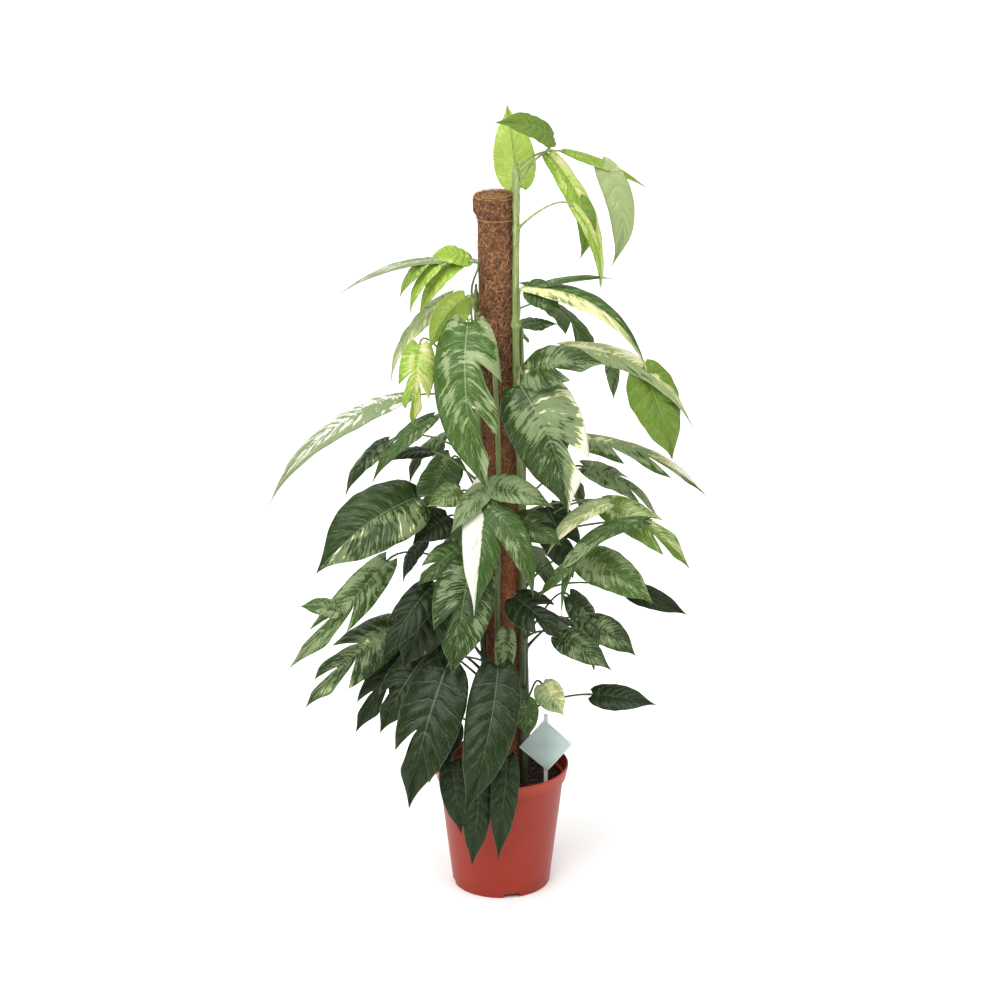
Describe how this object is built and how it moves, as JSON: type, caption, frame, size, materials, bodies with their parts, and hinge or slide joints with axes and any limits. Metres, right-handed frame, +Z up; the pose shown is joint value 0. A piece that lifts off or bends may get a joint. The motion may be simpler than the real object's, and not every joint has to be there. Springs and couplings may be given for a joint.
{
  "type": "potted albo epipremnum pinnatum",
  "caption": "Climbing variegated aroid with lobed leaves on an upright coir pole, in a round tapered nursery pot with a plant tag.",
  "frame": {"origin": "middle of the pot's underside, on the surface that it stands on", "axes": "+Z up along the pot and the plant, +X to the right and -Y towards the viewer of the picture"},
  "size_m": [0.6607, 0.4329, 1.229],
  "materials": {
    "pot_plastic": "satin",
    "potting_soil": "loose and matte",
    "stake_wood": "sawn",
    "coir_fibre": "loose fibre",
    "twine": "twisted fibre",
    "foliage": "satin leaf",
    "tag_card": "satin card",
    "tag_stick": "satin"
  },
  "bodies": {
    "root": {"pot": "pot_plastic", "soil": "potting_soil", "stake": "stake_wood", "fibre_wrap": "coir_fibre", "twine_1": "twine", "twine_2": "twine", "twine_3": "twine", "stem_right_front": "foliage", "stem_right_back": "foliage", "stem_front": "foliage", "stem_left_front": "foliage", "stem_left_back": "foliage", "stem_back": "foliage", "tag_card": "tag_card", "tag_stick": "tag_stick"}
  },
  "joints": []
}
